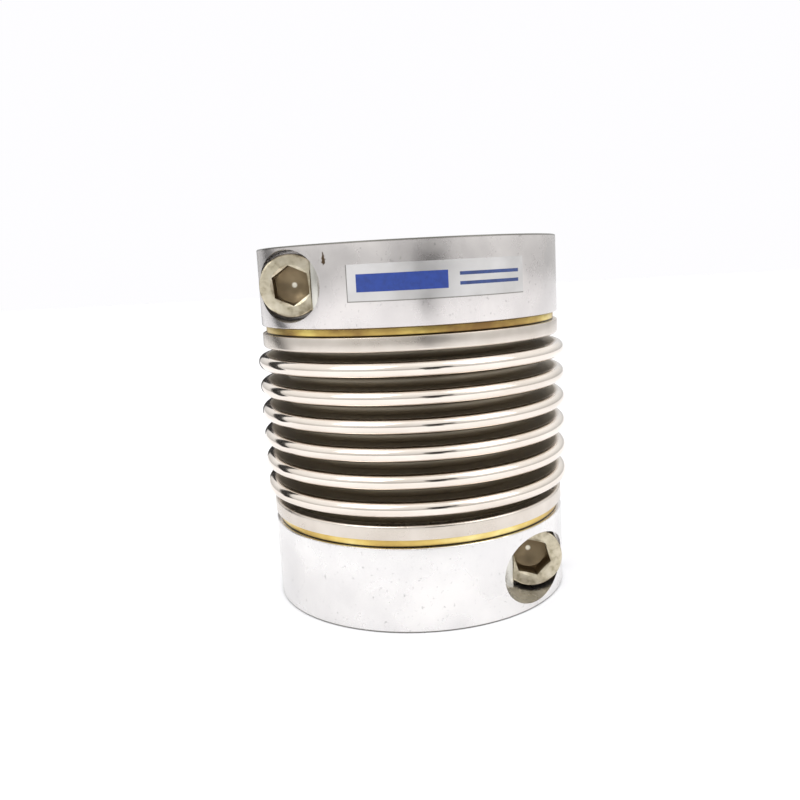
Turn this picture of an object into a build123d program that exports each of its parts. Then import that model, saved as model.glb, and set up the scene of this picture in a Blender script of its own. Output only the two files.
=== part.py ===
from build123d import *
import os
from math import cos, degrees, radians, sin, tan

# Bellows coupling with two clamp hubs, in millimetres.
# The origin is the centre of the lower hub's end face and +Z runs up the axis of rotation.
# Both hubs are one design: the upper one is the lower one turned half a turn about Y,
# so that both screw heads face -Y, one on each side of the shaft.

# Hubs
hub_radius = 45.0
lower_hub_length = 24.0
upper_hub_length = 22.4
hub_edge_chamfer = 0.4
bore_radius = 19.0
bore_chamfer = 0.8
slit_width = 2.5

# Clamp screws: M12 socket head cap screws
screw_diameter = 12.0
screw_length = 30.0
screw_tip_chamfer = 1.2
screw_head_diameter = 18.0
screw_head_height = 12.0
screw_head_rounding = 0.6
hex_across_flats = 10.0
hex_depth = 6.0
hex_drill_angle = 120.0
lower_hex_turn = 45.0
upper_hex_turn = 35.0

# Where the screws sit in the hubs: in from the outside, off mid-length, and up from the slit
screw_inset = 12.1
screw_toward_end = 0.4
screw_seat = 10.0
head_clearance = 0.9
shank_clearance = 0.5

# Opening pins: each crosses the pocket just in front of the screw head
pin_diameter = 4.0
pin_side_shift = 7.8
pin_head_gap = 0.5
pin_recess = 0.6
pin_chamfer = 0.3

# Bellows: U-shaped convolutions in a thin wall, which stand a little proud of the hubs
crest_height = 1.8
convolution_depth = 9.0
crest_count = 6
pitch = 7.5
wall = 0.5
skirt_bend = 0.8
lip_to_root = 0.8

# Collars pressed over the bellows' skirts, and the brass rings below them
collar_width = 3.4
collar_height = 4.1
collar_rounding = 0.8
collar_chamfer = 0.3
ring_recess = 1.2
ring_height = 2.3
ring_chamfer = 0.2

# The hubs' spigots, which pass through the rings into the skirts
spigot_engagement = 1.8
spigot_chamfer = 0.5
bond_gap = 0.05

# Label film on the upper hub
label_length = 50.2
label_height = 9.7
label_thickness = 0.12
label_turn = 11.5
label_rise = 0.5

# Sizes that follow from those above
end_stack = ring_height + collar_height
bellows_length = 2 * lip_to_root + crest_count * pitch
coupling_length = lower_hub_length + upper_hub_length + 2 * end_stack + bellows_length
skirt_radius = hub_radius - collar_width
skirt_inner_radius = skirt_radius - wall
spigot_radius = skirt_inner_radius - bond_gap
spigot_length = ring_height + spigot_engagement
crest_radius = hub_radius + crest_height
root_radius = crest_radius - convolution_depth
crest_bend = pitch / 4 + wall / 2
root_bend = pitch / 4 - wall / 2
screw_offset = hub_radius - screw_inset
pocket_radius = screw_head_diameter / 2 + head_clearance
pin_radius = pin_diameter / 2
pin_x = screw_offset - pin_side_shift
pin_y = -(screw_seat + screw_head_height + pin_head_gap + pin_radius)

lower_end = Plane.XY
upper_end = Plane(origin=(0, 0, coupling_length), x_dir=(-1, 0, 0), z_dir=(0, 0, -1))


def side_plane(end):
    """Plane through the axis: its x is the radius, its y the height above the end face."""
    return Plane(origin=end.origin, x_dir=end.x_dir, z_dir=-end.y_dir)


def screw_height(hub_length):
    """Height of the clamp screw above the hub's end face."""
    return hub_length / 2 - screw_toward_end


def screw_plane(end, hub_length, depth=0.0):
    """Plane square to the clamp screw, facing out of the pocket, at a depth from the slit."""
    centre = end.from_local_coords((screw_offset, 0, screw_height(hub_length)))
    return Plane(origin=centre, x_dir=end.x_dir, z_dir=(0, -1, 0)).offset(depth)


def make_hub(end, hub_length):
    """Turned aluminium hub, slit on the screw's side and bored for the clamp screw."""
    top = hub_length + spigot_length
    with BuildPart() as hub:
        with BuildSketch(side_plane(end)):
            with BuildLine():
                Polyline(
                    (bore_radius + bore_chamfer, 0),
                    (hub_radius - hub_edge_chamfer, 0),
                    (hub_radius, hub_edge_chamfer),
                    (hub_radius, hub_length - hub_edge_chamfer),
                    (hub_radius - hub_edge_chamfer, hub_length),
                    (spigot_radius, hub_length),
                    (spigot_radius, top - spigot_chamfer),
                    (spigot_radius - spigot_chamfer, top),
                    (bore_radius + bore_chamfer, top),
                    (bore_radius, top - bore_chamfer),
                    (bore_radius, bore_chamfer),
                    close=True,
                )
            make_face()
        revolve(axis=Axis.Z)

        # The slit stops at the shoulder, so the spigot stays a whole ring.
        with BuildSketch(end):
            Rectangle(hub_radius + slit_width, slit_width, align=(Align.MIN, Align.CENTER))
        extrude(amount=hub_length, mode=Mode.SUBTRACT)

        # Pocket for the screw head, clearance hole down to the slit, tapped hole beyond it
        with BuildSketch(screw_plane(end, hub_length, screw_seat)):
            Circle(pocket_radius)
        extrude(amount=hub_radius, mode=Mode.SUBTRACT)
        with BuildSketch(screw_plane(end, hub_length)):
            Circle(screw_diameter / 2 + shank_clearance)
        extrude(amount=screw_seat, mode=Mode.SUBTRACT)
        with BuildSketch(screw_plane(end, hub_length)):
            Circle(screw_diameter / 2)
        extrude(amount=-hub_radius, mode=Mode.SUBTRACT)

        # Hole for the opening pin, drilled from the end face across the pocket
        with BuildSketch(end):
            with Locations((pin_x, pin_y)):
                Circle(pin_radius)
        extrude(amount=screw_height(hub_length) + pocket_radius, mode=Mode.SUBTRACT)
    return hub


def make_screw(end, hub_length, hex_turn):
    """Socket head cap screw, its head seated on the bottom of the pocket."""
    head_face = screw_plane(end, hub_length, screw_seat + screw_head_height)
    drill_depth = hex_across_flats / 2 / tan(radians(hex_drill_angle / 2))
    with BuildPart() as screw:
        with BuildSketch(head_face):
            Circle(screw_head_diameter / 2)
        extrude(amount=-screw_head_height)
        fillet(screw.faces().sort_by(Axis.Y)[0].edges(), screw_head_rounding)
        with BuildSketch(screw_plane(end, hub_length, screw_seat)):
            Circle(screw_diameter / 2)
        extrude(amount=-screw_length)
        chamfer(screw.faces().sort_by(Axis.Y)[-1].edges(), screw_tip_chamfer)

        # Hexagon socket with the conical floor that its drill leaves
        with BuildSketch(head_face):
            RegularPolygon(hex_across_flats / 2, 6, major_radius=False, rotation=hex_turn)
        extrude(amount=-hex_depth, mode=Mode.SUBTRACT)
        with Locations(head_face.offset(-hex_depth - drill_depth)):
            Cone(
                0,
                hex_across_flats / 2,
                drill_depth,
                align=(Align.CENTER, Align.CENTER, Align.MIN),
                mode=Mode.SUBTRACT,
            )
    return screw


def make_opening_pin(end, hub_length):
    """Dowel that the screw head backs against when it is undone, which spreads the hub."""
    depth = screw_height(hub_length) + pocket_radius
    with BuildPart() as pin:
        with BuildSketch(end.offset(pin_recess)):
            with Locations((pin_x, pin_y)):
                Circle(pin_radius)
        extrude(amount=depth - pin_recess)
        chamfer(pin.edges().filter_by(GeomType.CIRCLE), pin_chamfer)
    return pin


def make_ring(end, hub_length):
    """Brass ring on the hub's spigot, against its shoulder."""
    with BuildPart() as ring:
        with BuildSketch(end.offset(hub_length)):
            Circle(hub_radius - ring_recess)
            Circle(skirt_inner_radius, mode=Mode.SUBTRACT)
        extrude(amount=ring_height)
        outer_edges = ring.edges().filter_by(GeomType.CIRCLE).sort_by(SortBy.RADIUS)[-2:]
        chamfer(outer_edges, ring_chamfer)
    return ring


def make_collar(end, hub_length):
    """Steel collar pressed over the bellows' skirt, with a rounded lip towards the bellows."""
    bottom = hub_length + ring_height
    top = bottom + collar_height
    with BuildPart() as collar:
        with BuildSketch(side_plane(end)):
            with BuildLine():
                lip = JernArc((hub_radius, top - collar_rounding), (0, 1), collar_rounding, 90)
                Polyline(
                    lip @ 1,
                    (skirt_radius + collar_chamfer, top),
                    (skirt_radius, top - collar_chamfer),
                    (skirt_radius, bottom),
                    (hub_radius - collar_chamfer, bottom),
                    (hub_radius, bottom + collar_chamfer),
                    lip @ 0,
                )
            make_face()
        revolve(axis=Axis.Z)
    return collar


def facets(centre, radius, start, end, count=5):
    """Corners of a bend drawn as a few flats, for the inside of the wall."""
    for step in range(count + 1):
        turn = radians(start + (end - start) * step / count)
        yield (centre[0] + radius * cos(turn), centre[1] + radius * sin(turn))


def make_bellows():
    """Thin steel bellows: a skirt at each end and a row of U-shaped convolutions between."""
    skirt_bottom = lower_hub_length + ring_height
    skirt_top = coupling_length - upper_hub_length - ring_height
    first_root = skirt_bottom + collar_height + lip_to_root
    root_centre = root_radius + root_bend
    crest_centre = crest_radius - crest_bend
    bend_centre = skirt_radius - skirt_bend
    bend_bottom = first_root - root_bend - skirt_bend
    bend_top = first_root + crest_count * pitch + root_bend + skirt_bend
    outward = (1, 0)
    inward = (-1, 0)
    up = (0, 1)
    with BuildPart() as bellows:
        with BuildSketch(Plane.XZ):
            with BuildLine():
                # Outside of the wall, from the lower skirt to the upper one
                bottom = Line((skirt_radius, skirt_bottom), (skirt_radius, bend_bottom))
                path = JernArc(bottom @ 1, up, skirt_bend, 90)
                path = Line(path @ 1, (root_centre, (path @ 1).Y))
                path = JernArc(path @ 1, inward, root_bend, -180)
                for _ in range(crest_count):
                    path = Line(path @ 1, (crest_centre, (path @ 1).Y))
                    path = JernArc(path @ 1, outward, crest_bend, 180)
                    path = Line(path @ 1, (root_centre, (path @ 1).Y))
                    path = JernArc(path @ 1, inward, root_bend, -180)
                path = Line(path @ 1, (bend_centre, (path @ 1).Y))
                path = JernArc(path @ 1, outward, skirt_bend, 90)
                path = Line(path @ 1, (skirt_radius, skirt_top))

                # Inside of the wall, the wall's thickness away from it
                inside = [(skirt_inner_radius, skirt_bottom)]
                inside += facets((bend_centre, bend_bottom), skirt_bend - wall, 0, 90)
                for fold in range(crest_count + 1):
                    root = first_root + fold * pitch
                    inside += facets((root_centre, root), root_bend + wall, 270, 90)
                    if fold < crest_count:
                        inside += facets((crest_centre, root + pitch / 2), crest_bend - wall, -90, 90)
                inside += facets((bend_centre, bend_top), skirt_bend - wall, -90, 0)
                inside += [(skirt_inner_radius, skirt_top)]
                Polyline(bottom @ 0, *inside, path @ 1)
            make_face()
        revolve(axis=Axis.Z)
    return bellows


def make_label():
    """Clear film bent round the upper hub."""
    middle = coupling_length - upper_hub_length / 2 + label_rise
    label_angle = degrees(label_length / hub_radius)
    with BuildPart() as label:
        with BuildSketch(Plane.XZ.rotated((0, 0, label_turn - 90 - label_angle / 2))):
            with Locations((hub_radius, middle)):
                Rectangle(label_thickness, label_height, align=(Align.MIN, Align.CENTER))
        revolve(axis=Axis.Z, revolution_arc=label_angle)
    return label


def save(piece, name):
    """Label a finished piece and write its STEP file."""
    piece.part.label = name
    export_step(piece.part, f"parts/{name}.step")


os.makedirs("parts", exist_ok=True)

ends = (
    ("lower", lower_end, lower_hub_length, lower_hex_turn),
    ("upper", upper_end, upper_hub_length, upper_hex_turn),
)
for end_name, end, hub_length, hex_turn in ends:
    save(make_hub(end, hub_length), f"{end_name}_hub")
    save(make_screw(end, hub_length, hex_turn), f"{end_name}_clamp_screw")
    save(make_opening_pin(end, hub_length), f"{end_name}_opening_pin")
    save(make_ring(end, hub_length), f"{end_name}_ring")
    save(make_collar(end, hub_length), f"{end_name}_collar")

save(make_bellows(), "bellows")
save(make_label(), "label")
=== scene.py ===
from math import atan2, cos, degrees, pi, radians, tan

import bmesh
import bpy
from mathutils import Matrix, Vector


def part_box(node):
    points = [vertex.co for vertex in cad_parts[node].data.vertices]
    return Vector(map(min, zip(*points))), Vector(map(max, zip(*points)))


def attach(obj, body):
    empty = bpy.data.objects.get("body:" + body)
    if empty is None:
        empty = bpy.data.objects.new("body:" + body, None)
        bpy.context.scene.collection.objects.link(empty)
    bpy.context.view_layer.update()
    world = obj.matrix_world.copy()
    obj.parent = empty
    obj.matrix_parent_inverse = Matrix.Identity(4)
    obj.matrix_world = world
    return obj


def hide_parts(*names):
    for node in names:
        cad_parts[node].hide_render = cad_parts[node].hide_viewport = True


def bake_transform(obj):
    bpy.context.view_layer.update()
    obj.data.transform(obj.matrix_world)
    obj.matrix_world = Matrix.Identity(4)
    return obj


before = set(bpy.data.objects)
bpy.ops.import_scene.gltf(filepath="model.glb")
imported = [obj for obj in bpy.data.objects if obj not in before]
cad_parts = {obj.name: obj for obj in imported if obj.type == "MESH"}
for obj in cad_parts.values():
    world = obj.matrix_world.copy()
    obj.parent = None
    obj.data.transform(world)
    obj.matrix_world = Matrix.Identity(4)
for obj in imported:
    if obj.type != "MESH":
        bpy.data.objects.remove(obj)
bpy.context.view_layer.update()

# Dressing of a bellows coupling: two clamp hubs joined by a thin steel bellows.
# Sizes are in millimetres; mm() turns them into the scene's metres.

# Hubs, with the pocket and tapped hole of the screw
HUB_RADIUS = 45.0
HUB_EDGE = 0.4
BORE_RADIUS = 19.0
BORE_CHAMFER = 0.8
SPIGOT_RADIUS = 41.05
SPIGOT_LENGTH = 4.1
SLIT_WIDTH = 2.5
SCREW_OFFSET = 32.9
SCREW_TOWARD_END = 0.4
SCREW_SEAT = 10.0
POCKET_RADIUS = 9.9
CLEARANCE = 0.5
TAPPED_START = 20.6
TAPPED_LENGTH = 15.8

# M12 socket head cap screws
HEAD_RADIUS = 9.0
HEAD_HEIGHT = 12.0
HEAD_EDGE = 0.7
HEAD_UNDER_EDGE = 0.3
SHANK_RADIUS = 6.0
SHANK_LENGTH = 30.0
THREAD_PITCH = 1.75
THREAD_DEPTH = 0.9
THREAD_FLANK = 0.46
THREAD_SLACK = 0.05
NECK_SLACK = 0.2
NECK_LENGTH = 1.4
NECK_END = 2.4
TIP_CHAMFER = 0.4
HEX_FLATS = 10.0
HEX_DEPTH = 6.0
MOUTH_HEIGHT = 0.6
MOUTH_SINK = 0.24
MOUTH_FLARE = 0.9
KNURL_PRESS = 0.985
KNURL_UNDER = 0.2
KNURL_OVER = 0.6

# Opening pins
PIN_RADIUS = 2.0
PIN_X = 25.1
PIN_Y = -24.5
PIN_BOTTOM = 0.6
PIN_EDGE = 0.3

# Rings and collars
RING_RADIUS = 43.8
RING_HEIGHT = 2.3
RING_FIT = 0.05
RING_EDGE = 0.2
COLLAR_RADIUS = 45.0
COLLAR_HEIGHT = 4.1
COLLAR_LIP = 0.8
COLLAR_EDGE = 0.25
COLLAR_CHAMFER = 0.3

# Bellows
SKIRT_RADIUS = 41.6
WALL = 0.5
SKIRT_BEND = 0.8
CREST_RADIUS = 46.8
ROOT_RADIUS = 37.8
CREST_BEND = 2.125
ROOT_BEND = 1.625
PITCH = 7.5
CREST_COUNT = 6
LIP_TO_ROOT = 0.8

# Label: angles are counted from the front, anticlockwise from above
LABEL_HEIGHT = 9.7
LABEL_LENGTH = 50.2
LABEL_TURN = 11.5
LABEL_RISE = 0.5
FILM_LIFT = 0.045
FILM_WALL = 0.07
INK_LIFT = 0.095
INK_WALL = 0.02
BAR_ENDS = (-17.0, 13.5)
BAR_BAND = (-2.3, 2.3)
DASH_ENDS = (17.5, 41.0)
DASH_BANDS = ((0.8, 1.7), (-1.7, -0.8))

# Sides of round pieces, and how near to a size a corner has to be to count as on it
ROUND_SIDES = 256
BELLOWS_SIDES = 200
SCREW_SIDES = 180
PIN_SIDES = 64
COIL_SIDES = 40
HOLE_SIDES = 96
SMALL_HOLE_SIDES = 48
STRIP_STEPS = 64
NEAR = 0.1


def mm(*sizes):
    """Millimetres as metres: one size, or a point."""
    scaled = [size / 1000 for size in sizes]
    return scaled[0] if len(scaled) == 1 else Vector(scaled)


# ---------------------------------------------------------------- modelling


def edit(piece):
    """Go into edit mode on one piece, with all of it selected."""
    bpy.ops.object.select_all(action="DESELECT")
    piece.select_set(True)
    bpy.context.view_layer.objects.active = piece
    bpy.ops.object.mode_set(mode="EDIT")
    bpy.ops.mesh.select_all(action="SELECT")


def done():
    """Leave edit mode."""
    bpy.ops.object.mode_set(mode="OBJECT")


def added(name):
    """The primitive just added, under its own name."""
    piece = bpy.context.object
    piece.name = name
    piece.data.name = name
    return piece


def select(piece, wanted):
    """In edit mode, select the vertices that pass the test."""
    bpy.ops.mesh.select_mode(type="VERT")
    bpy.ops.mesh.select_all(action="DESELECT")
    mesh = bmesh.from_edit_mesh(piece.data)
    for vertex in mesh.verts:
        if wanted(vertex):
            vertex.select_set(True)
    bmesh.update_edit_mesh(piece.data)


def pen(name, radius, height):
    """One vertex in the side plane, from which a section is drawn."""
    bpy.ops.object.select_all(action="DESELECT")
    bpy.ops.mesh.primitive_plane_add(size=mm(1))
    piece = added(name)
    edit(piece)
    bpy.ops.mesh.merge(type="CENTER")
    bpy.ops.transform.translate(value=mm(radius, 0, height))
    return piece


def line(dx, dz):
    """Extrude the pen's vertex by a step out and a step up."""
    bpy.ops.mesh.extrude_region_move(TRANSFORM_OT_translate={"value": mm(dx, 0, dz)})


def bend(radius, height, turn, steps):
    """Spin the pen's vertex about a bend's centre, anticlockwise in the section."""
    centre = mm(radius, 0, height)
    bpy.ops.mesh.spin(steps=steps, angle=radians(turn), center=centre, axis=(0, 1, 0))


def section(name, corners):
    """Closed section drawn from corner to corner."""
    piece = pen(name, *corners[0])
    for here, there in zip(corners, corners[1:] + corners[:1]):
        line(there[0] - here[0], there[1] - here[1])
    bpy.ops.mesh.select_all(action="SELECT")
    bpy.ops.mesh.remove_doubles(threshold=mm(0.005))
    return piece


def soften(piece, radius, steps, wanted):
    """Round the section's corners that pass the test, or cut them straight in one step."""
    select(piece, lambda vertex: wanted(vertex.co * 1000))
    bpy.ops.mesh.bevel(offset=mm(radius), segments=steps, affect="VERTICES")


def spin_round(steps):
    """Spin the whole section about the shaft's axis, and make it one skin."""
    bpy.ops.mesh.select_all(action="SELECT")
    bpy.ops.mesh.spin(steps=steps, angle=2 * pi, center=(0, 0, 0), axis=(0, 0, 1))
    bpy.ops.mesh.select_all(action="SELECT")
    bpy.ops.mesh.remove_doubles(threshold=mm(0.002))
    bpy.ops.mesh.normals_make_consistent(inside=False)


def smooth(piece, angle=30.0):
    """Smooth shading, with edges sharper than the angle kept."""
    bpy.ops.object.select_all(action="DESELECT")
    piece.select_set(True)
    bpy.context.view_layer.objects.active = piece
    bpy.ops.object.shade_smooth_by_angle(angle=radians(angle))


def apply(piece, kind, **settings):
    """Add a modifier with its settings, and apply it."""
    bpy.context.view_layer.objects.active = piece
    modifier = piece.modifiers.new(kind.title(), kind)
    for key, value in settings.items():
        setattr(modifier, key, value)
    bpy.ops.object.modifier_apply(modifier=modifier.name)


def cut(piece, *tools, operation="DIFFERENCE"):
    """Cut the piece with each tool in turn, and throw the tools away."""
    for tool in tools:
        apply(piece, "BOOLEAN", operation=operation, object=tool, solver="EXACT")
        bpy.data.objects.remove(tool)


def drill(radius, start, end, sides=HOLE_SIDES):
    """Round cutting tool between two points."""
    start, end = mm(*start), mm(*end)
    bpy.ops.object.select_all(action="DESELECT")
    bpy.ops.mesh.primitive_cylinder_add(
        vertices=sides,
        radius=mm(radius),
        depth=(end - start).length,
        location=(start + end) / 2,
        rotation=(end - start).to_track_quat("Z", "Y").to_euler(),
    )
    return added("drill")


def block(corner, far_corner):
    """Square cutting tool between two corners."""
    corner, far_corner = mm(*corner), mm(*far_corner)
    bpy.ops.object.select_all(action="DESELECT")
    bpy.ops.mesh.primitive_cube_add(
        size=1, location=(corner + far_corner) / 2, scale=far_corner - corner
    )
    return added("block")


def join(piece, *others):
    """Make the pieces one, each with its own closed shell."""
    bpy.ops.object.select_all(action="DESELECT")
    for other in (piece, *others):
        other.select_set(True)
    bpy.context.view_layer.objects.active = piece
    bpy.ops.object.join()


def turn(angle, axis):
    """In edit mode, turn what is selected about an axis of the scene, by the right-hand rule."""
    # With no window the operator turns the other way
    bpy.ops.transform.rotate(
        value=-radians(angle),
        orient_axis=axis,
        orient_type="GLOBAL",
        center_override=(0, 0, 0),
    )


def stand_on(piece, end):
    """Move a piece made for the lower end to where that end of the coupling is."""
    if end["up"] < 0:
        edit(piece)
        turn(180, "Y")
        bpy.ops.transform.translate(value=mm(0, 0, end["face"]))
        done()


# ---------------------------------------------------------------- materials


def colour(code):
    """An sRGB hex colour as the linear values that the shaders work in."""
    parts = [int(code[i : i + 2], 16) / 255 for i in (1, 3, 5)]
    light = [p / 12.92 if p <= 0.04045 else ((p + 0.055) / 1.055) ** 2.4 for p in parts]
    return (*light, 1.0)


def grey(value):
    """One linear value on all three colours."""
    return (value, value, value, 1.0)


def grain(*sizes):
    """Noise scale, in cells a metre, for cells this many millimetres across: one, or one a side."""
    scales = [1000 / size for size in sizes]
    return scales[0] if len(scales) == 1 else scales


def feed(tree, socket, value):
    """Give an input a fixed value, an output, or the first output that a node has in use."""
    if isinstance(value, bpy.types.Node):
        value = next(output for output in value.outputs if output.enabled)
    if isinstance(value, bpy.types.NodeSocket):
        tree.links.new(value, socket)
    else:
        socket.default_value = value


def node(tree, kind, *values, stops=(), **settings):
    """Add a node with its settings and links.

    Values go to the inputs in use, in their order. A name in small letters is an option of the
    node, and one with a capital is an input. Stops are the places and colours of a ramp.
    """
    made = tree.nodes.new("ShaderNode" + kind)
    for key, value in settings.items():
        if key.islower():
            setattr(made, key, value)
    for socket, value in zip([each for each in made.inputs if each.enabled], values):
        feed(tree, socket, value)
    for key, value in settings.items():
        if not key.islower():
            feed(tree, made.inputs[key.replace("_", " ")], value)
    if stops:
        steps = made.color_ramp.elements
        while len(steps) < len(stops):
            steps.new(0.5)
        for step, (position, value) in zip(steps, stops):
            step.position = position
            step.color = value
    return made


def material(name):
    """A new material, its tree, and the object's coordinates in that tree."""
    made = bpy.data.materials.new(name)
    made.use_nodes = True
    return made, made.node_tree, node(made.node_tree, "TexCoord").outputs["Object"]


def finished(made, **shader):
    """Give the material's own shader its fixed values and its links."""
    principled = made.node_tree.nodes["Principled BSDF"]
    for key, value in shader.items():
        feed(made.node_tree, principled.inputs[key.replace("_", " ")], value)
    return made


# Options of a node that mixes two colours
OVER = {"data_type": "RGBA", "blend_type": "MIX"}
TIMES = {"data_type": "RGBA", "blend_type": "MULTIPLY"}


def turned_aluminium():
    """Turned and lightly tumbled aluminium: pale, satin, with faint rings left by the tool."""
    made, tree, where = material("turned_aluminium")
    cloud = node(tree, "TexNoise", where, Scale=grain(14.286), Detail=5.0)
    speck = node(tree, "TexNoise", where, Scale=grain(1.1111), Detail=3.0)
    tone = [(0.35, colour("#DEDCDB")), (0.65, colour("#ECEAE8"))]
    base = node(tree, "ValToRGB", cloud, stops=tone)
    marks = node(tree, "ValToRGB", speck, stops=[(0.24, grey(0.45)), (0.36, grey(1.0))])
    base = node(tree, "Mix", 0.6, base, marks, **TIMES)
    # Painted shade: the upper hub's colour is darkened, in mottled patches, so that it shows greyer
    # than the lower hub
    height = node(tree, "SeparateXYZ", where).outputs["Z"]
    patches = node(tree, "ValToRGB", cloud, stops=[(0.3, grey(0.72)), (0.7, grey(0.95))])
    upper_hub_painted_shade = node(tree, "Mix", 0.35, colour("#F3F0EF"), patches, **TIMES)
    shaded_base = node(tree, "Mix", 1.0, base, upper_hub_painted_shade, **TIMES)
    between_hubs = mm(60)
    upper = node(tree, "MapRange", height, between_hubs, between_hubs + mm(2))
    base = node(tree, "Mix", upper, base, shaded_base, **OVER)
    # Painted shade on the broken edges of both end faces: a dark line at the chamfers
    middle = mm(upper_face / 2)
    from_middle = node(tree, "Math", height, middle, operation="SUBTRACT")
    from_middle = node(tree, "Math", from_middle, operation="ABSOLUTE")
    near_face = node(tree, "MapRange", from_middle, middle - mm(0.55), middle - mm(0.3))
    flat = node(tree, "Mapping", where, Scale=(1, 1, 0))
    out = node(tree, "VectorMath", flat, operation="LENGTH")
    near_rim = node(tree, "MapRange", out, mm(HUB_RADIUS - 0.7), mm(HUB_RADIUS - HUB_EDGE))
    edge = node(tree, "Math", near_face, near_rim, operation="MULTIPLY")
    base = node(tree, "Mix", edge, base, colour("#77756F"), **OVER)
    # Nick with brown residue, left of the label: its place, and its stretch across and up
    x, y, z = -21.5, -39.5, 101.6
    wide, tall = 0.55, 1.7
    far = node(
        tree, "Mapping", where, Location=mm(-x / wide, -y, -z / tall), Scale=(1 / wide, 1, 1 / tall)
    )
    distance = node(tree, "VectorMath", far, operation="LENGTH")
    ragged = node(tree, "TexNoise", where, Scale=grain(0.66667), Detail=2.0)
    distance = node(tree, "Math", ragged, mm(2.6), distance, operation="MULTIPLY_ADD")
    nick = node(tree, "MapRange", distance, mm(2.3), mm(1.9))
    base = node(tree, "Mix", nick, base, colour("#5C4C3A"), **OVER)
    rough = node(tree, "ValToRGB", cloud, stops=[(0.3, grey(0.22)), (0.7, grey(0.32))])
    # Tool rings 0.12 mm apart, drawn 0.5 mm apart so that they show
    around = node(tree, "Mapping", where, Scale=grain(50, 50, 0.5))
    rings = node(tree, "TexNoise", around, Scale=1.0, Detail=2.0)
    bump = node(tree, "Bump", Height=rings, Strength=0.12, Distance=mm(0.02))
    return finished(made, Metallic=1.0, Base_Color=base, Roughness=rough, Normal=bump)


def brass(name, node_name, dark, middle, light):
    """Turned brass, tarnished unevenly, with painted shade in the corners where it meets its
    neighbours.
    """
    made, tree, where = material(name)
    dark, middle, light = colour(dark), colour(middle), colour(light)
    around = node(tree, "Mapping", where, Scale=grain(16.447, 16.447, 10.417))
    cloud = node(tree, "TexNoise", around, Scale=1.0, Detail=4.0)
    tarnish = [(0.34, dark), (0.48, middle), (0.6, light), (0.74, middle)]
    base = node(tree, "ValToRGB", cloud, stops=tarnish)
    low, high = (corner.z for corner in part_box(node_name))
    height = node(tree, "SeparateXYZ", where).outputs["Z"]
    # Painted shade: dark lines at the lower and upper ends of the ring, where it meets its
    # neighbours
    under = node(tree, "MapRange", height, low + mm(0.5), low + mm(0.28))
    base = node(tree, "Mix", under, base, colour("#2E261A"), **OVER)
    above = node(tree, "MapRange", height, high - mm(0.3), high - mm(0.12))
    base = node(tree, "Mix", above, base, colour("#3A3022"), **OVER)
    rough = node(tree, "ValToRGB", cloud, stops=[(0.3, grey(0.42)), (0.7, grey(0.26))])
    return finished(made, Metallic=1.0, Base_Color=base, Roughness=rough)


def collar_steel():
    """Ground stainless steel, satin, a shade pinker than the hubs."""
    made, tree, where = material("ground_steel")
    cloud = node(tree, "TexNoise", where, Scale=grain(11.111), Detail=4.0)
    base = node(tree, "ValToRGB", cloud, stops=[(0.3, colour("#C8BFB4")), (0.7, colour("#DDD5CC"))])
    rough = node(tree, "ValToRGB", cloud, stops=[(0.3, grey(0.24)), (0.7, grey(0.34))])
    return finished(made, Metallic=1.0, Base_Color=base, Roughness=rough)


def bellows_steel():
    """Rolled stainless strip, formed into folds: bright crests, and grooves left dull, with painted
    shade darkening them.
    """
    made, tree, where = material("formed_stainless")
    flat = node(tree, "Mapping", where, Scale=(1, 1, 0))
    out = node(tree, "VectorMath", flat, operation="LENGTH")
    crest = node(tree, "MapRange", out, mm(CREST_RADIUS - 3.2), mm(CREST_RADIUS - 1.7))
    around = node(tree, "Mapping", where, Scale=grain(16.667, 16.667, 3.3333))
    cloud = node(tree, "TexNoise", around, Scale=1.0, Detail=3.0)
    tone = [(0.3, colour("#DFD5CA")), (0.7, colour("#EDE4DA"))]
    bright = node(tree, "ValToRGB", cloud, stops=tone)
    # Painted shade: the base colour darkens from the crests down into the grooves
    base = node(tree, "Mix", crest, colour("#9A9182"), bright, **OVER)
    rough = node(tree, "ValToRGB", crest, stops=[(0.0, grey(0.45)), (1.0, grey(0.12))])
    return finished(made, Metallic=1.0, Base_Color=base, Roughness=rough)


def screw_steel():
    """Nickel-plated alloy steel, dulled to a warm grey and mottled."""
    made, tree, where = material("nickel_plated_steel")
    cloud = node(tree, "TexNoise", where, Scale=grain(1.9231), Detail=6.0)
    mottle = [(0.3, colour("#A0967E")), (0.5, colour("#C6BDA6")), (0.72, colour("#D4CCB8"))]
    base = node(tree, "ValToRGB", cloud, stops=mottle)
    # Painted shade in the socket and down the side of the head, darker the deeper it lies behind
    # the face
    part = node(tree, "SeparateXYZ", where)
    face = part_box("lower_clamp_screw")[0].y
    inside = node(tree, "MapRange", part.outputs["Y"], face + mm(0.3), face + mm(2.5))
    base = node(tree, "Mix", inside, base, colour("#8C7C62"), **OVER)
    # Painted highlight: a bright dot at the point of the socket's drill, at the middle of both
    # screws
    boxes = [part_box(end["name"] + "_clamp_screw") for end in ends]
    lower, upper = ((low.z + high.z) / 2 for low, high in boxes)
    side = node(tree, "Math", part.outputs["X"], operation="ABSOLUTE")
    side = node(tree, "Math", side, mm(SCREW_OFFSET), operation="SUBTRACT")
    rise = node(tree, "Math", part.outputs["Z"], (lower + upper) / 2, operation="SUBTRACT")
    rise = node(tree, "Math", rise, operation="ABSOLUTE")
    rise = node(tree, "Math", rise, (upper - lower) / 2, operation="SUBTRACT")
    side = node(tree, "Math", side, 2.0, operation="POWER")
    rise = node(tree, "Math", rise, 2.0, operation="POWER")
    away = node(tree, "Math", side, rise, operation="ADD")
    point = node(tree, "MapRange", away, mm(0.9) ** 2, mm(0.5) ** 2)
    base = node(tree, "Mix", point, base, colour("#F4EEDD"), **OVER)
    rough = node(tree, "ValToRGB", cloud, stops=[(0.3, grey(0.48)), (0.7, grey(0.32))])
    bump = node(tree, "Bump", Height=cloud, Strength=0.15, Distance=mm(0.05))
    return finished(made, Metallic=1.0, Base_Color=base, Roughness=rough, Normal=bump)


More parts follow.
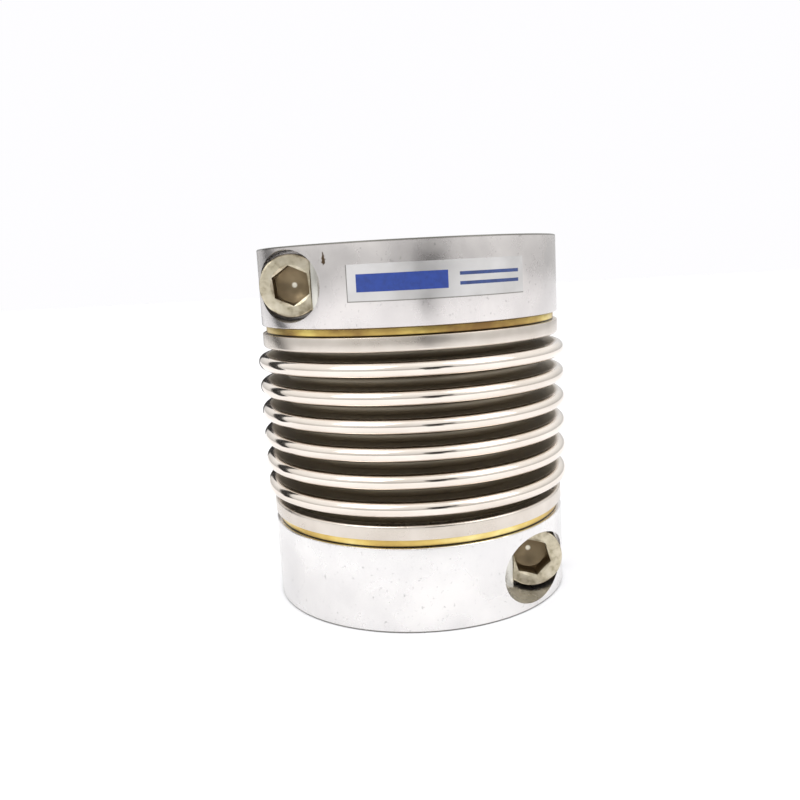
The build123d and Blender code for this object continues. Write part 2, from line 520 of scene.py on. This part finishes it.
def pin_steel():
    """Ground dowel steel, bright, with faint marks along it."""
    made, tree, where = material("ground_dowel_steel")
    along = node(tree, "Mapping", where, Scale=grain(3.3333, 3.3333, 16.667))
    cloud = node(tree, "TexNoise", along, Scale=1.0, Detail=2.0)
    base = node(tree, "ValToRGB", cloud, stops=[(0.3, colour("#C4C2BA")), (0.7, colour("#DAD8D0"))])
    rough = node(tree, "ValToRGB", cloud, stops=[(0.3, grey(0.2)), (0.7, grey(0.3))])
    return finished(made, Metallic=1.0, Base_Color=base, Roughness=rough)


def label_film():
    """Clear polyester film, so the aluminium shows through under a gloss."""
    made, tree, where = material("clear_polyester_film")
    cloud = node(tree, "TexNoise", where, Scale=grain(8.3333), Detail=4.0)
    base = node(tree, "ValToRGB", cloud, stops=[(0.3, colour("#CBC9C7")), (0.7, colour("#DBD9D8"))])
    # Dirt held by the glue along the lower edge and the left end
    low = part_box("label")[0]
    part = node(tree, "SeparateXYZ", where)
    under = node(tree, "MapRange", part.outputs["Z"], low.z + mm(0.35), low.z + mm(0.2))
    base = node(tree, "Mix", under, base, colour("#8E8C86"), **OVER)
    left = node(tree, "MapRange", part.outputs["X"], low.x + mm(0.3), low.x + mm(0.15))
    base = node(tree, "Mix", left, base, colour("#6E6C66"), **OVER)
    rough = node(tree, "ValToRGB", cloud, stops=[(0.3, grey(0.3)), (0.7, grey(0.4))])
    return finished(
        made,
        Metallic=0.85,
        Coat_Weight=0.6,
        Coat_Roughness=0.12,
        Base_Color=base,
        Roughness=rough,
    )


def printed_ink(name, light, dark):
    """Screen-printed ink: matt, a little uneven."""
    made, tree, where = material(name)
    cloud = node(tree, "TexNoise", where, Scale=grain(1.25), Detail=3.0)
    base = node(tree, "ValToRGB", cloud, stops=[(0.35, colour(dark)), (0.65, colour(light))])
    rough = node(tree, "ValToRGB", cloud, stops=[(0.3, grey(0.45)), (0.7, grey(0.55))])
    return finished(made, Base_Color=base, Roughness=rough)


def plain(name, code, roughness):
    """Studio material of one even colour: seamless paper or card."""
    made = material(name)[0]
    return finished(made, Base_Color=colour(code), Roughness=roughness)


def dress(piece, finish):
    """Give a piece its one material."""
    piece.data.materials.clear()
    piece.data.materials.append(finish)


# ---------------------------------------------------------------- pieces

# Each end of the coupling: its outer face, which way it faces in, the hub's length outside its
# spigot, and how far the screw was turned when it was tightened
upper_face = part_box("upper_hub")[1].z * 1000
ends = (
    {
        "name": "lower",
        "body": "lower_end",
        "face": 0.0,
        "up": 1,
        "length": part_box("lower_ring")[0].z * 1000,
        "hex_turn": 45.0,
    },
    {
        "name": "upper",
        "body": "upper_end",
        "face": upper_face,
        "up": -1,
        "length": upper_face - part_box("upper_ring")[1].z * 1000,
        "hex_turn": 35.0,
    },
)


def make_hub(end):
    """Clamp hub: turned from its section, slit, bored for the screw and drilled for the pin."""
    length = end["length"]
    top = length + SPIGOT_LENGTH
    height = length / 2 - SCREW_TOWARD_END
    hub = section(
        end["name"] + "_clamp_hub",
        [
            (BORE_RADIUS, 0),
            (HUB_RADIUS, 0),
            (HUB_RADIUS, length),
            (SPIGOT_RADIUS, length),
            (SPIGOT_RADIUS, top),
            (BORE_RADIUS, top),
        ],
    )
    soften(hub, BORE_CHAMFER, 1, lambda place: place.x < BORE_RADIUS + NEAR)
    soften(hub, HUB_EDGE, 3, lambda place: place.x > HUB_RADIUS - NEAR)
    spin_round(ROUND_SIDES)
    done()
    # Each tool starts or ends a little past the face that it opens
    reach = HUB_RADIUS + 5
    seat = (SCREW_OFFSET, -SCREW_SEAT, height)
    cut(
        hub,
        block((0, -SLIT_WIDTH / 2, -1), (reach, SLIT_WIDTH / 2, length)),
        drill(POCKET_RADIUS, seat, (SCREW_OFFSET, -reach, height)),
        drill(
            SHANK_RADIUS + CLEARANCE,
            (SCREW_OFFSET, -SCREW_SEAT - 1, height),
            (SCREW_OFFSET, 0, height),
        ),
        drill(SHANK_RADIUS, (SCREW_OFFSET, -NEAR, height), (SCREW_OFFSET, reach, height)),
        drill(
            PIN_RADIUS,
            (PIN_X, PIN_Y, -1),
            (PIN_X, PIN_Y, height + POCKET_RADIUS),
            SMALL_HOLE_SIDES,
        ),
    )
    # Thread of the tapped hole, from the screw's tip to where the hole leaves the hub
    thread = helix(
        "thread", SHANK_RADIUS + 0.3, SHANK_RADIUS - THREAD_DEPTH, TAPPED_START, TAPPED_LENGTH
    )
    edit(thread)
    turn(-90, "X")
    bpy.ops.transform.translate(value=mm(SCREW_OFFSET, 0, height))
    done()
    inside = drill(HUB_RADIUS - NEAR, (0, 0, -1), (0, 0, length + 1), ROUND_SIDES)
    cut(thread, inside, operation="INTERSECT")
    join(hub, thread)
    stand_on(hub, end)
    smooth(hub)
    return hub


def make_ring(end):
    """Brass ring, turned, with its edges broken."""
    length = end["length"]
    ring = section(
        end["name"] + "_brass_ring",
        [
            (SPIGOT_RADIUS + RING_FIT, length),
            (RING_RADIUS, length),
            (RING_RADIUS, length + RING_HEIGHT),
            (SPIGOT_RADIUS + RING_FIT, length + RING_HEIGHT),
        ],
    )
    soften(ring, RING_EDGE, 2, lambda place: place.x > RING_RADIUS - NEAR)
    spin_round(ROUND_SIDES)
    done()
    stand_on(ring, end)
    smooth(ring)
    return ring


def make_collar(end):
    """Steel collar with a rounded lip towards the bellows."""
    bottom = end["length"] + RING_HEIGHT
    top = bottom + COLLAR_HEIGHT
    collar = section(
        end["name"] + "_steel_collar",
        [
            (SKIRT_RADIUS, bottom),
            (COLLAR_RADIUS, bottom),
            (COLLAR_RADIUS, top),
            (SKIRT_RADIUS, top),
        ],
    )
    rim, neck = COLLAR_RADIUS - NEAR, SKIRT_RADIUS + NEAR
    soften(collar, COLLAR_LIP, 6, lambda place: place.x > rim and place.z > top - NEAR)
    soften(collar, COLLAR_EDGE, 2, lambda place: place.x > rim and place.z < bottom + NEAR)
    soften(collar, COLLAR_CHAMFER, 1, lambda place: place.x < neck and place.z > top - NEAR)
    spin_round(ROUND_SIDES)
    done()
    stand_on(collar, end)
    smooth(collar, 40)
    return collar


def make_bellows():
    """Bellows: the wall's middle drawn as one line of bends, spun round and given thickness."""
    low, high = (corner.z * 1000 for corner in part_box("bellows"))
    first_root = low + COLLAR_HEIGHT + LIP_TO_ROOT
    last_root = first_root + CREST_COUNT * PITCH
    root_centre = ROOT_RADIUS + ROOT_BEND
    crest_centre = CREST_RADIUS - CREST_BEND
    skirt_centre = SKIRT_RADIUS - SKIRT_BEND
    lower_bend = first_root - ROOT_BEND - SKIRT_BEND
    upper_bend = last_root + ROOT_BEND + SKIRT_BEND
    bellows = pen("formed_bellows", SKIRT_RADIUS - WALL / 2, low)
    line(0, lower_bend - low)
    bend(skirt_centre, lower_bend, 90, 4)
    line(root_centre - skirt_centre, 0)
    for fold in range(CREST_COUNT):
        height = first_root + fold * PITCH
        bend(root_centre, height, -180, 12)
        line(crest_centre - root_centre, 0)
        bend(crest_centre, height + PITCH / 2, 180, 16)
        line(root_centre - crest_centre, 0)
    bend(root_centre, last_root, -180, 12)
    line(skirt_centre - root_centre, 0)
    bend(skirt_centre, upper_bend, 90, 4)
    line(0, high - upper_bend)
    spin_round(BELLOWS_SIDES)
    done()
    apply(bellows, "SOLIDIFY", thickness=mm(WALL), offset=0.0)
    smooth(bellows, 60)
    return bellows


def helix(name, base, tip, start, length):
    """Thread ridge wound round the Z axis, as a closed coil."""
    flank = THREAD_PITCH * THREAD_FLANK
    ridge = section(
        name,
        [
            (base, start),
            (tip, start + flank - NEAR),
            (tip, start + flank + NEAR),
            (base, start + 2 * flank),
        ],
    )
    done()
    apply(
        ridge,
        "SCREW",
        axis="Z",
        angle=2 * pi,
        screw_offset=mm(THREAD_PITCH),
        iterations=int(length / THREAD_PITCH),
        steps=COIL_SIDES,
        render_steps=COIL_SIDES,
    )
    # Close the coil's two ends
    edit(ridge)
    bpy.ops.mesh.remove_doubles(threshold=mm(0.002))
    bpy.ops.mesh.fill_holes(sides=6)
    bpy.ops.mesh.select_all(action="SELECT")
    bpy.ops.mesh.normals_make_consistent(inside=False)
    done()
    return ridge


def make_screw(end):
    """M12 socket head cap screw: turned blank, knurled head, hexagon socket, rolled thread."""
    height = end["length"] / 2 - SCREW_TOWARD_END
    name = end["name"] + "_cap_screw"
    core = SHANK_RADIUS - THREAD_DEPTH
    # Drawn standing on its tip, with the head's seat at height 0 and a plain neck under it
    blank = section(
        name,
        [
            (0, -SHANK_LENGTH),
            (core - TIP_CHAMFER, -SHANK_LENGTH),
            (core, -SHANK_LENGTH + TIP_CHAMFER),
            (core, -NECK_END),
            (SHANK_RADIUS - NECK_SLACK, -NECK_LENGTH),
            (SHANK_RADIUS - NECK_SLACK, 0),
            (HEAD_RADIUS, 0),
            (HEAD_RADIUS, HEAD_HEIGHT),
            (0, HEAD_HEIGHT),
        ],
    )
    rim = HEAD_RADIUS - NEAR
    soften(blank, HEAD_EDGE, 4, lambda place: place.x > rim and place.z > 1)
    soften(blank, HEAD_UNDER_EDGE, 2, lambda place: place.x > rim and place.z < 1)
    spin_round(SCREW_SIDES)

    # Knurl: every other line of the head's side pressed in
    def pressed(vertex):
        place = vertex.co * 1000
        if not KNURL_UNDER < place.z < HEAD_HEIGHT - KNURL_OVER:
            return False
        line_number = round(degrees(atan2(place.y, place.x)) * SCREW_SIDES / 360)
        return place.xy.length > HEAD_RADIUS - 0.05 and line_number % 2 == 0

    select(blank, pressed)
    bpy.ops.transform.resize(value=(KNURL_PRESS, KNURL_PRESS, 1), center_override=(0, 0, 0))
    done()
    # Socket: the hexagon, the drill's point at its bottom and the chamfer at its mouth
    bottom = HEAD_HEIGHT - HEX_DEPTH
    hexagon = drill(HEX_FLATS / 2 / cos(pi / 6), (0, 0, bottom), (0, 0, HEAD_HEIGHT + 2), 6)
    point_depth = HEX_FLATS / 2 / tan(radians(60))
    bpy.ops.object.select_all(action="DESELECT")
    bpy.ops.mesh.primitive_cone_add(
        vertices=SMALL_HOLE_SIDES,
        radius1=0,
        radius2=mm(HEX_FLATS / 2),
        depth=mm(point_depth),
        location=mm(0, 0, bottom - point_depth / 2 + 0.01),
    )
    point = added("socket_point")
    bpy.ops.mesh.primitive_cone_add(
        vertices=SMALL_HOLE_SIDES,
        radius1=mm(HEX_FLATS / 2 - NEAR),
        radius2=mm(HEX_FLATS / 2 + MOUTH_FLARE),
        depth=mm(MOUTH_HEIGHT),
        location=mm(0, 0, HEAD_HEIGHT - MOUTH_SINK),
    )
    mouth = added("socket_mouth")
    cut(blank, hexagon, point, mouth)
    thread = helix(
        "thread",
        core - NEAR,
        SHANK_RADIUS - THREAD_SLACK,
        -SHANK_LENGTH + TIP_CHAMFER + 0.2,
        SHANK_LENGTH - 4,
    )
    join(blank, thread)
    edit(blank)
    turn(end["hex_turn"] + 30, "Z")
    turn(90, "X")
    bpy.ops.transform.translate(value=mm(SCREW_OFFSET, -SCREW_SEAT, height))
    done()
    stand_on(blank, end)
    smooth(blank)
    return blank


def make_pin(end):
    """Opening pin: a dowel with rounded ends, across the pocket."""
    top = end["length"] / 2 - SCREW_TOWARD_END + POCKET_RADIUS
    pin = section(
        end["name"] + "_dowel",
        [(0, PIN_BOTTOM), (PIN_RADIUS, PIN_BOTTOM), (PIN_RADIUS, top), (0, top)],
    )
    soften(pin, PIN_EDGE, 2, lambda place: place.x > PIN_RADIUS - NEAR)
    spin_round(PIN_SIDES)
    bpy.ops.transform.translate(value=mm(PIN_X, PIN_Y, 0))
    done()
    stand_on(pin, end)
    smooth(pin)
    return pin


def wrap(name, start, end, bottom, top, lift, thickness):
    """Thin strip wrapped round the upper hub between two angles from the front."""
    strip = pen(name, HUB_RADIUS + lift, bottom)
    line(0, top - bottom)
    bpy.ops.mesh.select_all(action="SELECT")
    turn(start - 90, "Z")
    # With no window the spin about Z goes the other way
    bpy.ops.mesh.spin(
        steps=STRIP_STEPS, angle=-radians(end - start), center=(0, 0, 0), axis=(0, 0, 1)
    )
    bpy.ops.mesh.select_all(action="SELECT")
    bpy.ops.mesh.normals_make_consistent(inside=False)
    done()
    apply(strip, "SOLIDIFY", thickness=mm(thickness), offset=0.0)
    smooth(strip)
    return strip


def make_label():
    """Label film, and its print: one plain bar and two plain dashes."""
    middle = upper_face - ends[1]["length"] / 2 + LABEL_RISE
    half = degrees(LABEL_LENGTH / HUB_RADIUS) / 2
    low, high = middle - LABEL_HEIGHT / 2, middle + LABEL_HEIGHT / 2
    film = wrap(
        "label_film", LABEL_TURN - half, LABEL_TURN + half, low, high, FILM_LIFT, FILM_WALL
    )
    low, high = (middle + edge for edge in BAR_BAND)
    bar = wrap("label_bar", *BAR_ENDS, low, high, INK_LIFT, INK_WALL)
    dashes = [
        wrap("label_dashes", *DASH_ENDS, middle + low, middle + high, INK_LIFT, INK_WALL)
        for low, high in DASH_BANDS
    ]
    join(*dashes)
    return film, bar, dashes[0]


# ---------------------------------------------------------------- assembly

aluminium = turned_aluminium()
# The upper ring's brass is a darker, browner copy of the lower ring's: painted shade standing in
# for the dark reflections on the upper ring
brass_finish = {
    "lower": brass("tarnished_brass", "lower_ring", "#C3A45E", "#DCC072", "#EFDD98"),
    "upper": brass("shaded_copy_brass", "upper_ring", "#8C6E44", "#BFA35C", "#E2CD78"),
}
collar_finish = collar_steel()
bellows_finish = bellows_steel()
screw_finish = screw_steel()
pin_finish = pin_steel()
film_finish = label_film()

for end in ends:
    for maker, finish, node_name, slot in (
        (make_hub, aluminium, "hub", "hub_aluminium"),
        (make_ring, brass_finish[end["name"]], "ring", "ring_brass"),
        (make_collar, collar_finish, "collar", "collar_steel"),
        (make_screw, screw_finish, "clamp_screw", "screw_steel"),
        (make_pin, pin_finish, "opening_pin", "pin_steel"),
    ):
        piece = maker(end)
        dress(piece, finish)
        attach(piece, end["body"])
        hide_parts(end["name"] + "_" + node_name)

bellows = make_bellows()
dress(bellows, bellows_finish)
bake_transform(bellows)
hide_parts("bellows")

film, bar, dashes = make_label()
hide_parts("label")
for piece, finish in (
    (film, film_finish),
    (bar, printed_ink("blue_screen_ink", "#1F3D8E", "#1B367F")),
    (dashes, printed_ink("dark_blue_screen_ink", "#33477F", "#2A3A69")),
):
    dress(piece, finish)
    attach(piece, "upper_end")

# ---------------------------------------------------------------- studio

bpy.ops.object.select_all(action="DESELECT")
bpy.ops.mesh.primitive_plane_add(size=6)
floor = added("floor")
dress(floor, plain("white_paper", "#F4F4F6", 0.9))

# Light tent: bright overhead, greyer at the horizon, greyest in front. Seen directly, rather than
# in a reflection, it is plain white.
world = bpy.data.worlds.new("light_tent")
world.use_nodes = True
tree = world.node_tree
way = node(tree, "SeparateXYZ", node(tree, "TexCoord").outputs["Generated"])
height = node(tree, "Math", way.outputs["Z"], 0.5, 0.5, operation="MULTIPLY_ADD")
depth = node(tree, "Math", way.outputs["Y"], 0.5, 0.5, operation="MULTIPLY_ADD")
sky = [(0.5, grey(0.56)), (0.56, grey(0.7)), (0.68, grey(0.98)), (0.9, grey(1.1))]
sky = node(tree, "ValToRGB", height, stops=sky)
front = node(tree, "ValToRGB", depth, stops=[(0.02, grey(0.8)), (0.25, grey(1.0))])
tent = node(tree, "Mix", 1.0, sky, front, **TIMES)
direct = node(tree, "LightPath").outputs["Is Camera Ray"]
white = (0.9, 0.895, 0.91, 1.0)
seen = node(tree, "Mix", direct, tent, white, **OVER)
background = tree.nodes["Background"]
feed(tree, background.inputs["Color"], seen)
feed(tree, background.inputs["Strength"], 1.1)
bpy.context.scene.world = world

# Two soft lamps, aimed at the middle of the coupling
middle_of_part = mm(0, 0, 50)
for place, watts in ((mm(-500, -500, 800), 3.0), (mm(600, -300, 700), 2.0)):
    bpy.ops.object.light_add(type="AREA", location=place)
    lamp = bpy.context.object
    lamp.data.energy = watts
    lamp.data.size = mm(600)
    aim = middle_of_part - lamp.location
    lamp.rotation_euler = aim.to_track_quat("-Z", "Y").to_euler()

# Dark cards that only reflections see: the camera's body and grip, and two stands at the left.
# Each has the middle of its lower and upper edge, and its width.
black_card = plain("black_card", "#202020", 1.0)
grey_card = plain("grey_card", "#484848", 1.0)
for name, low, high, width in (
    ("camera_card", mm(74, -258, 90), mm(74, -258, 166), mm(100)),
    ("grip_card", mm(62, -262, 30), mm(62, -262, 90), mm(50)),
    ("left_card", mm(-245, 45, 20), mm(-130, 130, 220), mm(55)),
    ("back_left_card", mm(-110, 190, 20), mm(-88, 196, 130), mm(50)),
):
    bpy.ops.object.select_all(action="DESELECT")
    bpy.ops.mesh.primitive_plane_add(size=1)
    card = added(name)
    up = high - low
    middle = (high + low) / 2
    across = up.cross(mm(0, 0, 55) - middle).normalized()
    turned = Matrix((across, up.normalized(), across.cross(up).normalized())).transposed()
    stretch = Matrix.Diagonal((width, up.length, 1, 1))
    card.matrix_world = Matrix.Translation(middle) @ turned.to_4x4() @ stretch
    dress(card, grey_card if name == "grip_card" else black_card)
    card.visible_camera = False
    card.visible_diffuse = False
    card.visible_shadow = False

# Camera in front, a little above the coupling: turned aside, tipped down and rolled by small angles
camera = bpy.data.objects.new("camera", bpy.data.cameras.new("camera"))
bpy.context.collection.objects.link(camera)
camera.data.sensor_width = 36
camera.data.lens = 36.99
camera.data.clip_start = mm(10)
camera.matrix_world = (
    Matrix.Translation(mm(0, -255.7, 99.2))
    @ Matrix.Rotation(radians(0.93), 4, "Z")
    @ Matrix.Rotation(radians(90 - 9.32), 4, "X")
    @ Matrix.Rotation(radians(-3.03), 4, "Z")
)
bpy.context.scene.camera = camera
bpy.context.scene.view_settings.view_transform = "Standard"
